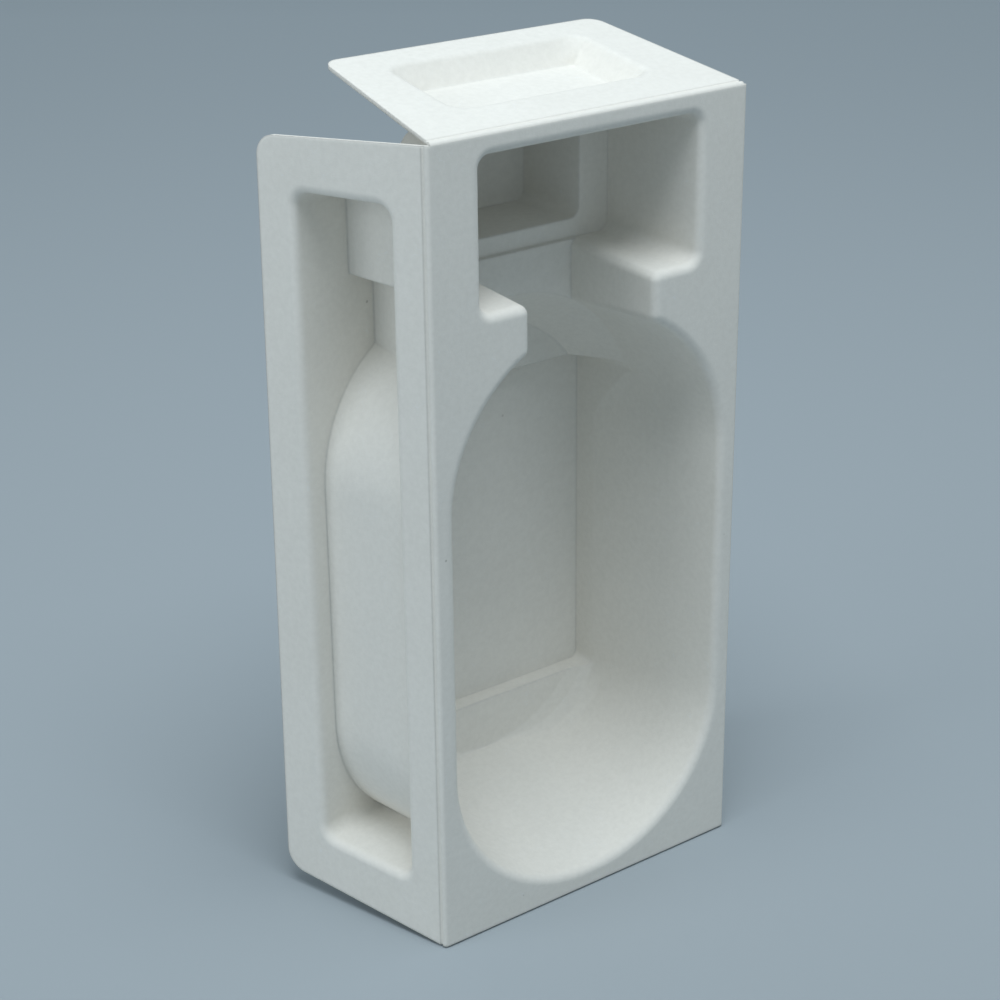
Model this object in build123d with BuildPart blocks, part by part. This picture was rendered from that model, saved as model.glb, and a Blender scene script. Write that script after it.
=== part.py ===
# Molded pulp insert: one thin pulp shell. A bottle-shaped stepped cavity is pressed into
# the front panel, and a flap is folded back from each of its four edges; the two side
# flaps have a pocket of their own whose floor follows the shape of the cavity.
# Millimetres. The origin is the middle of the footprint, on the floor; +Z is up, and +Y
# runs from the front panel to the back. Depths are measured from the panel's front face.
import os
from math import acos, cos, degrees, radians, sin

from build123d import *

os.makedirs("parts", exist_ok=True)

# sheet and panel
wall = 1.0
panel_w = 100.2
panel_h = 220.0
bend_r = 1.1

# folds: the angle each flap opens from straight back, how far back it reaches, how it
# tapers, and how much shorter the side flaps are at the top than at the foot
side_flare = 15.0
top_rise = 10.0
bottom_rise = 0.0
side_depth = 55.0
side_lean = 2.5
end_depth = 53.4
side_taper = 4.6
end_taper = 5.9
side_clear = 0.6
end_clear = 0.9
side_corner_r = 6.0
end_corner_r = 4.5

# scored line just behind each fold
score_r = 0.5
score_depth = 0.35
score_back = 1.6

# bottle-shaped cavity: each row is depth, half width, lowest z, highest z; the body's
# rows end with the radius of its two lower corners, and its top is a half circle
body_rows = (
    (0.0, 44.6, 5.8, 167.1, 44.1),
    (33.0, 40.3, 17.3, 165.2, 25.5),
    (42.5, 39.15, 20.6, 158.3, 20.5),
    (46.0, 38.7, 21.8, 155.7, 21.0),
    (48.0, 38.45, 22.5, 154.2, 28.0),
    (49.0, 38.3, 22.8, 153.5, 37.8),
)
neck_rows = ((0.0, 20.2, 150.0, 185.0), (33.0, 19.2, 150.0, 185.0))
cap_rows = ((0.0, 34.9, 175.0, 214.4), (34.0, 32.4, 177.0, 212.6))
body_step_rows = ((14.0, 39.6, 36.9, 139.4), (54.0, 38.4, 38.3, 137.2))
cap_step_rows = ((26.0, 23.9, 181.8, 208.0), (54.0, 19.8, 183.3, 205.0))
cap_corner_r = 3.2
body_step_corner_r = 2.5
cap_step_corner_r = 3.0
neck_corner_r = 1.5
ledge_tip_r = 2.6
throat_r = 2.4

# side pockets, in the plane of the flap: distance from the fold, lowest and highest z
pocket_front = (12.3, 17.4, 203.2)
pocket_rear = (42.9, 19.2, 201.9)
pocket_reach = 34.0
pocket_corner_r = 4.0
pocket_draft = 5.0

# floor of a side pocket near the fold and near the rear edge of the flap: depth at the
# body, at the neck and at the cap, and the heights of the two arc centres
relief_front = (4.0, 17.8, 14.0, 51.0, 122.5)
relief_rear = (6.4, 27.0, 18.0, 52.5, 121.5)
relief_r = 40.9
relief_step_z = 177.0
relief_over = 4.0

# shallow pocket of the top flap, and the same one in the bottom flap
end_pocket_front = 14.5
end_pocket_behind = 7.9
end_pocket_d = (end_pocket_front, end_depth - end_pocket_behind)
end_pocket_half = 31.2
end_pocket_depth = 6.0
end_pocket_corner_r = 5.0
end_pocket_draft = 40.0

# rounded lips of the cavity and the pockets
lip_back_r = 1.1
lip_front_r = 2.3
end_lip_back_r = 1.0
end_lip_front_r = 2.0

half_w = panel_w / 2
overall_depth = max(body_step_rows[-1][0], cap_step_rows[-1][0]) + wall
panel_y = -overall_depth / 2
FROM_ABOVE = Plane(origin=(0, panel_y, 0), x_dir=(1, 0, 0), z_dir=(0, 0, 1))
FROM_SIDE = Plane(origin=(0, panel_y, 0), x_dir=(0, 1, 0), z_dir=(1, 0, 0))


def at_depth(y):
    return Plane(origin=(0, panel_y + y, 0), x_dir=(-1, 0, 0), z_dir=(0, 1, 0))


def drafted_block(rows, corner_r, grow):
    # a rounded block that narrows from its first row to its last one
    last = len(rows) - 1
    with BuildPart() as block:
        for i, (y, half, low, high) in enumerate(rows):
            shift = grow / 2 if i == 0 else grow if i == last else 0
            with BuildSketch(at_depth(y + shift)):
                with Locations((0, (low + high) / 2)):
                    RectangleRounded(2 * (half + grow), high - low + 2 * grow, corner_r + grow)
        loft(ruled=True)
    return block.part


def body_block(grow):
    # the body, narrowing to its back plane: a half circle at the top, rounded corners below
    last = len(body_rows) - 1
    with BuildPart() as block:
        for i, (y, half, low, high, corner) in enumerate(body_rows):
            shift = grow / 2 if i == 0 else grow if i == last else 0
            w = half + grow
            foot = low - grow
            r = corner + grow
            with BuildSketch(at_depth(y + shift)):
                with BuildLine():
                    top = CenterArc((0, high - half), w, 0, 180)
                    left = Line(top @ 1, (-w, foot + r))
                    turn_in = CenterArc((r - w, foot + r), r, 180, 90)
                    base = Line(turn_in @ 1, (w - r, foot))
                    turn_out = CenterArc((w - r, foot + r), r, 270, 90)
                    Line(turn_out @ 1, top @ 0)
                make_face()
        loft(ruled=True)
    return block.part


def cavity_plug(grow):
    # the air in the cavity, or with grow the outside of its pulp wall
    neck_edge = neck_rows[0][1] + grow
    ledge_z = cap_rows[0][2]
    with BuildPart() as plug:
        add(body_block(grow))
        add(drafted_block(neck_rows, neck_corner_r, grow))
        add(drafted_block(cap_rows, cap_corner_r, grow))
        along = plug.edges().filter_by(lambda e: e.length > neck_rows[1][0] * 0.8)
        beside = along.filter_by(lambda e: abs(abs(e.center().X) - neck_edge) < 1.5)
        if grow == 0:
            fillet(beside.filter_by(lambda e: e.center().Z < ledge_z - 4), throat_r)
            fillet(beside.filter_by(lambda e: e.center().Z > ledge_z - 4), ledge_tip_r)
        add(drafted_block(body_step_rows, body_step_corner_r, grow))
        add(drafted_block(cap_step_rows, cap_step_corner_r, grow))
    return plug.part


def flap_plane(flare):
    # the outer face of the left flap: x away from the fold, y up, normal inwards
    s, c = sin(radians(flare)), cos(radians(flare))
    return Plane(origin=(-half_w, panel_y, 0), x_dir=(-s, c, 0), z_dir=(c, s, 0))


def end_plane(z, rise, side):
    # the outer face of the top (side 1) or bottom (side -1) flap: y away from the fold
    s, c = sin(radians(rise)), cos(radians(rise))
    return Plane(origin=(0, panel_y, z), x_dir=(-side, 0, 0), z_dir=(0, s, -side * c))


def relief_plane(flap, d):
    # a plane across the flap at distance d from the fold: x inwards, y up
    return Plane(origin=flap.origin + flap.x_dir * d, x_dir=flap.z_dir, z_dir=-flap.x_dir)


def relief_profile(row, grow):
    # the floor of a side pocket in section: it steps round the body, neck and cap
    body_n, neck_n, cap_n, low, high = row
    centre_n = body_n + relief_r
    r = relief_r - grow
    neck = neck_n + grow
    cap = cap_n + grow
    turn = degrees(acos((centre_n - neck) / r))
    foot = CenterArc((centre_n, low), r, 265, -85)
    side = Line((centre_n - r, low), (centre_n - r, high))
    shoulder = CenterArc((centre_n, high), r, 180, -turn)
    step_z = relief_step_z + grow
    top_z = step_z + 30
    end = foot @ 0
    Polyline(
        shoulder @ 1,
        (neck, step_z),
        (cap, step_z),
        (cap, top_z),
        (-relief_over, top_z),
        (-relief_over, end.Y),
        end,
    )


def side_pocket(grow):
    # the air in the left flap's pocket, or with grow the outside of its pulp wall
    flap = flap_plane(side_flare)
    with BuildPart() as pocket:
        for row, d in ((relief_front, pocket_front[0] - 2), (relief_rear, pocket_rear[0] + 2)):
            with BuildSketch(relief_plane(flap, d)):
                with BuildLine():
                    relief_profile(row, grow)
                make_face()
        loft(ruled=True)
        with BuildSketch(flap.offset(grow / 2)) as plan:
            with BuildLine():
                Polyline(
                    (pocket_front[0], pocket_front[1]),
                    (pocket_rear[0], pocket_rear[1]),
                    (pocket_rear[0], pocket_rear[2]),
                    (pocket_front[0], pocket_front[2]),
                    close=True,
                )
            make_face()
            fillet(plan.vertices(), pocket_corner_r)
            if grow:
                offset(amount=grow)
        extrude(amount=pocket_reach, taper=pocket_draft, mode=Mode.INTERSECT)
    return pocket.part


def end_pocket(z, rise, side, grow):
    # the same for the shallow pocket of the top or bottom flap
    width = 2 * (end_pocket_half + grow)
    length = end_pocket_d[1] - end_pocket_d[0] + 2 * grow
    with BuildPart() as pocket:
        with BuildSketch(end_plane(z, rise, side).offset(grow / 2)):
            with Locations((0, (end_pocket_d[0] + end_pocket_d[1]) / 2)):
                RectangleRounded(width, length, end_pocket_corner_r + grow)
        extrude(amount=end_pocket_depth + grow / 2, taper=end_pocket_draft)
    return pocket.part


side_s, side_c = sin(radians(side_flare)), cos(radians(side_flare))
top_s, top_c = sin(radians(top_rise)), cos(radians(top_rise))

# front panel with the two side flaps, one bent sheet cut to the flaps' outline
side_length = side_depth / side_c + 2
with BuildPart() as sides:
    with BuildSketch(FROM_ABOVE):
        with BuildLine():
            FilletPolyline(
                (-half_w - side_length * side_s, side_length * side_c),
                (-half_w, 0),
                (half_w, 0),
                (half_w + side_length * side_s, side_length * side_c),
                radius=bend_r,
            )
            offset(amount=wall, side=Side.LEFT)
        make_face()
        for sx in (-1, 1):
            with Locations(
                (
                    sx * (half_w + score_back * side_s + (score_r - score_depth) * side_c),
                    score_back * side_c - (score_r - score_depth) * side_s,
                )
            ):
                Circle(score_r, mode=Mode.SUBTRACT)
    extrude(amount=panel_h)
    with BuildSketch(FROM_SIDE) as side_outline:
        with BuildLine():
            Polyline(
                (-1, side_clear),
                (bend_r, side_clear),
                (side_depth, side_clear + side_taper),
                (side_depth - side_lean, panel_h - side_clear - side_taper),
                (bend_r, panel_h - side_clear),
                (-1, panel_h - side_clear),
                close=True,
            )
        make_face()
        fillet(side_outline.vertices().filter_by(lambda v: v.X > side_depth / 2), side_corner_r)
    extrude(amount=panel_w, both=True, mode=Mode.INTERSECT)

# front panel with the top and bottom flaps, made the same way
end_length = end_depth + 2
with BuildPart() as ends:
    with BuildSketch(FROM_SIDE):
        with BuildLine():
            FilletPolyline(
                (end_length, 0),
                (0, 0),
                (0, panel_h),
                (end_length * top_c, panel_h + end_length * top_s),
                radius=bend_r,
            )
            offset(amount=wall, side=Side.RIGHT)
        make_face()
        lift = score_r - score_depth
        with Locations(
            (score_back, -lift),
            (score_back * top_c - lift * top_s, panel_h + score_back * top_s + lift * top_c),
        ):
            Circle(score_r, mode=Mode.SUBTRACT)
    extrude(amount=half_w, both=True)
    with BuildSketch(FROM_ABOVE) as end_outline:
        near = half_w - end_clear
        far = near - end_taper
        with BuildLine():
            Polyline(
                (-near, -1),
                (near, -1),
                (near, bend_r),
                (far, end_depth),
                (-far, end_depth),
                (-near, bend_r),
                close=True,
            )
        make_face()
        fillet(end_outline.vertices().filter_by(lambda v: v.Y > end_depth / 2), end_corner_r)
    extrude(amount=2 * panel_h, both=True, mode=Mode.INTERSECT)


def rim(edges, plane, depth, reach, low, high):
    # the edges of a hollow's mouth: all in one plane, and clear of the sheet's border
    found = ShapeList()
    for e in edges:
        points = [plane.to_local_coords(e.position_at(t)) for t in (0, 0.5, 1)]
        flat = all(abs(p.Z - depth) < 0.02 for p in points)
        inside = all(abs(p.X - reach[0]) < reach[1] for p in points)
        between = all(low < p.Y < high for p in points)
        if flat and inside and between:
            found.append(e)
    return found


left_flap = flap_plane(side_flare)
right_flap = Plane(
    origin=(half_w, panel_y, 0),
    x_dir=(-left_flap.x_dir.X, left_flap.x_dir.Y, 0),
    z_dir=(-left_flap.z_dir.X, left_flap.z_dir.Y, 0),
)
top_flap = end_plane(panel_h, top_rise, 1)
bottom_flap = end_plane(0, bottom_rise, -1)

# each mouth: its plane, the radii behind and in front, and where its edges lie
pocket_span = ((pocket_front[0] + pocket_rear[0]) / 2, 22)
mouths = (
    (at_depth(0), lip_back_r, lip_front_r, (0, half_w - 3), 3, panel_h - 3),
    (left_flap, lip_back_r, lip_front_r, pocket_span, 8, panel_h - 8),
    (right_flap, lip_back_r, lip_front_r, pocket_span, 8 - panel_h, -8),
    (top_flap, end_lip_back_r, end_lip_front_r, (0, half_w - 12), 6, end_depth - 4),
    (bottom_flap, end_lip_back_r, end_lip_front_r, (0, half_w - 12), 6, end_depth - 4),
)

pockets = []
for grow in (wall, 0):
    left = side_pocket(grow)
    hollows = [cavity_plug(grow), left, mirror(left, about=Plane.YZ)]
    hollows.append(end_pocket(panel_h, top_rise, 1, grow))
    hollows.append(end_pocket(0, bottom_rise, -1, grow))
    pockets.append(hollows)

with BuildPart() as insert:
    add(sides.part)
    add(ends.part)
    for outside in pockets[0]:
        add(outside)
    for air in pockets[1]:
        add(air, mode=Mode.SUBTRACT)

    for plane, back_r, front_r, reach, low, high in mouths:
        for depth, r in ((wall, back_r), (0, front_r)):
            fillet(rim(insert.edges(), plane, depth, reach, low, high), r)

insert.part.label = "insert"
export_step(insert.part, "parts/insert.step")
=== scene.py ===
from math import radians

import bmesh
import bpy
from mathutils import Matrix, Vector

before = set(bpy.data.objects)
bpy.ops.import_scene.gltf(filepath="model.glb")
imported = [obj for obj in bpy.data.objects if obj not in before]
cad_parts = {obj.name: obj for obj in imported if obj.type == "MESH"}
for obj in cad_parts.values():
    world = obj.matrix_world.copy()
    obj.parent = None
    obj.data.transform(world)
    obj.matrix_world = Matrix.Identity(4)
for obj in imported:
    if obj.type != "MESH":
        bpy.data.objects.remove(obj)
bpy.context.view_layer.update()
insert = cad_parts["insert"]

# pulp: thick and thin places of the sheet, dark and pale tufts, loose fibres, bark specks
THIN_PULP = (0.815, 0.785, 0.724, 1)
THICK_PULP = (0.857, 0.827, 0.766, 1)
DARK_TUFT = (0.792, 0.762, 0.702, 1)
PALE_TUFT = (0.879, 0.849, 0.788, 1)
FIBRE = (0.87, 0.87, 0.86, 1)
BARK = (0.25, 0.22, 0.18, 1)
TUFT_SHARE = 0.42
FIBRE_SHARE = 0.35

# grain of the pulp: features per metre, and how far its corners and felt shape the shading
CLOUD_SCALE = 38
STRAND_SCALE = 190
PATCH_SCALE = 120
TUFT_SCALE = 620
FELT_SCALE = 2600
SPECK_SCALE = 85
SOFT_CORNER = 0.0011
FELT_HEIGHT = 0.00012

# paper floor with painted shade: darker near the camera and the object, paler away from the
# camera, along a line through the object
PAINTED_SHADE_NEAR_PAPER = (0.335, 0.375, 0.40, 1)
PAINTED_LIGHT_FAR_PAPER = (0.62, 0.68, 0.72, 1)
AWAY_FROM_CAMERA = (0.60, 0.80, 0.0)
NEAR_DISTANCE = -0.25
FAR_DISTANCE = 1.25
FLOOR_HALF = 3.0

SKY = (0.76, 0.91, 1.0, 1)
SKY_STRENGTH = 0.33
DAYLIGHT = (0.88, 0.95, 1.0)
LIT_POINT = (0, 0, 0.1)

LENS = 79.305
SENSOR = 36
CAMERA_ROLL = radians(-0.668)
EYE = Vector((-0.3365, -0.4326, 0.3442))
AIM = Vector((-0.01371, -0.0055, 0.11411))


def new_material(name):
    mat = bpy.data.materials.new(name)
    mat.use_nodes = True
    return mat, mat.node_tree.nodes, mat.node_tree.links


def feed(links, socket, value):
    # joins another node's output to a socket, or sets the socket to a plain value
    if isinstance(value, (int, float, tuple)):
        socket.default_value = value
    else:
        links.new(value, socket)


def noise(nodes, links, coords, scale, detail, roughness=0.5):
    tex = nodes.new("ShaderNodeTexNoise")
    tex.inputs["Scale"].default_value = scale
    tex.inputs["Detail"].default_value = detail
    tex.inputs["Roughness"].default_value = roughness
    links.new(coords, tex.inputs["Vector"])
    return tex.outputs["Fac"]


def remap(nodes, links, value, low, high, to_low, to_high, smooth=False):
    node = nodes.new("ShaderNodeMapRange")
    if smooth:
        node.interpolation_type = "SMOOTHSTEP"
    node.inputs["From Min"].default_value = low
    node.inputs["From Max"].default_value = high
    node.inputs["To Min"].default_value = to_low
    node.inputs["To Max"].default_value = to_high
    links.new(value, node.inputs["Value"])
    return node.outputs["Result"]


def calculate(nodes, links, kind, a, b):
    node = nodes.new("ShaderNodeMath")
    node.operation = kind
    feed(links, node.inputs[0], a)
    feed(links, node.inputs[1], b)
    return node.outputs["Value"]


def multiply(nodes, links, a, b):
    return calculate(nodes, links, "MULTIPLY", a, b)


def mix_colour(nodes, links, factor, a, b):
    node = nodes.new("ShaderNodeMix")
    node.data_type = "RGBA"
    feed(links, node.inputs[0], factor)
    feed(links, node.inputs[6], a)
    feed(links, node.inputs[7], b)
    return node.outputs[2]


def pulp_material():
    # pressed white pulp: cloudy sheet, loose fibres, a few dark specks, a felt-like grain
    mat, nodes, links = new_material("pulp")
    bsdf = nodes["Principled BSDF"]
    place = nodes.new("ShaderNodeTexCoord").outputs["Object"]

    cloud = noise(nodes, links, place, CLOUD_SCALE, 3)
    tuft = noise(nodes, links, place, TUFT_SCALE, 4, 0.6)
    felt = noise(nodes, links, place, FELT_SCALE, 3, 0.6)

    # the cloudy look of the sheet, with small tufts over it
    thick = remap(nodes, links, cloud, 0.3, 0.7, 0.0, 1.0)
    sheet = mix_colour(nodes, links, thick, THIN_PULP, THICK_PULP)
    pale = remap(nodes, links, tuft, 0.35, 0.65, 0.0, 1.0)
    tufts = mix_colour(nodes, links, pale, DARK_TUFT, PALE_TUFT)
    colour = mix_colour(nodes, links, TUFT_SHARE, sheet, tufts)

    # loose fibres: thin curved lines where a soft noise crosses its middle value, in patches
    strand = noise(nodes, links, place, STRAND_SCALE, 1.5)
    from_middle = calculate(nodes, links, "SUBTRACT", strand, 0.5)
    off_line = calculate(nodes, links, "ABSOLUTE", from_middle, 0)
    line = remap(nodes, links, off_line, 0.0, 0.006, 1.0, 0.0, True)
    patches = noise(nodes, links, place, PATCH_SCALE, 1)
    patch = remap(nodes, links, patches, 0.52, 0.62, 0.0, 1.0, True)
    fibre = multiply(nodes, links, line, patch)
    fibre_share = multiply(nodes, links, fibre, FIBRE_SHARE)
    colour = mix_colour(nodes, links, fibre_share, colour, FIBRE)

    # specks of dark bark, a small one in about every fourth cell, some fainter than others
    cells = nodes.new("ShaderNodeTexVoronoi")
    cells.inputs["Scale"].default_value = SPECK_SCALE
    links.new(place, cells.inputs["Vector"])
    dot = remap(nodes, links, cells.outputs["Distance"], 0.02, 0.045, 1.0, 0.0, True)
    pick = nodes.new("ShaderNodeSeparateColor")
    links.new(cells.outputs["Color"], pick.inputs["Color"])
    chosen = remap(nodes, links, pick.outputs["Red"], 0.74, 0.76, 0.0, 1.0)
    strength = remap(nodes, links, pick.outputs["Green"], 0.0, 1.0, 0.15, 0.6)
    speck = multiply(nodes, links, multiply(nodes, links, dot, chosen), strength)
    colour = mix_colour(nodes, links, speck, colour, BARK)
    links.new(colour, bsdf.inputs["Base Color"])

    rough = remap(nodes, links, tuft, 0.3, 0.7, 0.78, 0.92)
    links.new(rough, bsdf.inputs["Roughness"])
    bsdf.inputs["Specular IOR Level"].default_value = 0.25

    # corners pressed in a screen mould are never quite sharp, and the face has a felt grain
    corner = nodes.new("ShaderNodeBevel")
    corner.samples = 6
    corner.inputs["Radius"].default_value = SOFT_CORNER
    height = calculate(nodes, links, "ADD", multiply(nodes, links, tuft, 0.6), felt)
    fibre_height = multiply(nodes, links, fibre, 0.25)
    height = calculate(nodes, links, "ADD", height, fibre_height)
    bump = nodes.new("ShaderNodeBump")
    bump.inputs["Strength"].default_value = 0.35
    bump.inputs["Distance"].default_value = FELT_HEIGHT
    links.new(height, bump.inputs["Height"])
    links.new(corner.outputs["Normal"], bump.inputs["Normal"])
    links.new(bump.outputs["Normal"], bsdf.inputs["Normal"])
    return mat


def paper_material():
    # matt paper sweep of the studio, with a painted shade gradient that darkens it towards
    # the camera and the object
    mat, nodes, links = new_material("floor")
    bsdf = nodes["Principled BSDF"]
    place = nodes.new("ShaderNodeTexCoord").outputs["Object"]
    away = nodes.new("ShaderNodeVectorMath")
    away.operation = "DOT_PRODUCT"
    links.new(place, away.inputs[0])
    away.inputs[1].default_value = AWAY_FROM_CAMERA
    distance = away.outputs["Value"]
    # painted shade: the floor colour darkens towards the camera and the object, and pales
    # away from them
    painted_falloff = remap(nodes, links, distance, NEAR_DISTANCE, FAR_DISTANCE, 0.0, 1.0)
    colour = mix_colour(nodes, links, painted_falloff, PAINTED_SHADE_NEAR_PAPER, PAINTED_LIGHT_FAR_PAPER)
    links.new(colour, bsdf.inputs["Base Color"])
    bsdf.inputs["Roughness"].default_value = 0.8
    bsdf.inputs["Specular IOR Level"].default_value = 0.2
    return mat


def flat_square(name, half):
    bm = bmesh.new()
    bmesh.ops.create_grid(bm, x_segments=1, y_segments=1, size=half)
    mesh = bpy.data.meshes.new(name)
    bm.to_mesh(mesh)
    bm.free()
    obj = bpy.data.objects.new(name, mesh)
    bpy.context.scene.collection.objects.link(obj)
    return obj


def soft_box(name, place, size, power):
    # square light panel that faces the object
    data = bpy.data.lights.new(name, "AREA")
    data.shape = "SQUARE"
    data.size = size
    data.energy = power
    data.color = DAYLIGHT
    obj = bpy.data.objects.new(name, data)
    obj.location = place
    towards = Vector(LIT_POINT) - Vector(place)
    obj.rotation_euler = towards.to_track_quat("-Z", "Y").to_euler()
    bpy.context.scene.collection.objects.link(obj)


insert.data.materials.clear()
insert.data.materials.append(pulp_material())

floor = flat_square("floor", FLOOR_HALF)
floor.data.materials.append(paper_material())

# soft light: an even pale sky, a panel above and in front, and a low one on the left
world = bpy.data.worlds.new("sky")
bpy.context.scene.world = world
world.use_nodes = True
world.node_tree.nodes["Background"].inputs["Color"].default_value = SKY
world.node_tree.nodes["Background"].inputs["Strength"].default_value = SKY_STRENGTH
soft_box("top_light", (-0.10, -0.28, 1.15), 0.7, 9.2)
soft_box("left_light", (-1.20, 0.10, 0.50), 0.8, 3.6)

camera_data = bpy.data.cameras.new("camera")
camera_data.sensor_width = SENSOR
camera_data.lens = LENS
camera_data.clip_start = 0.01
camera = bpy.data.objects.new("camera", camera_data)
look = (AIM - EYE).to_track_quat("-Z", "Y").to_matrix().to_4x4()
camera.matrix_world = Matrix.Translation(EYE) @ look @ Matrix.Rotation(CAMERA_ROLL, 4, "Z")
bpy.context.scene.collection.objects.link(camera)
bpy.context.scene.camera = camera
bpy.context.scene.view_settings.view_transform = "Standard"
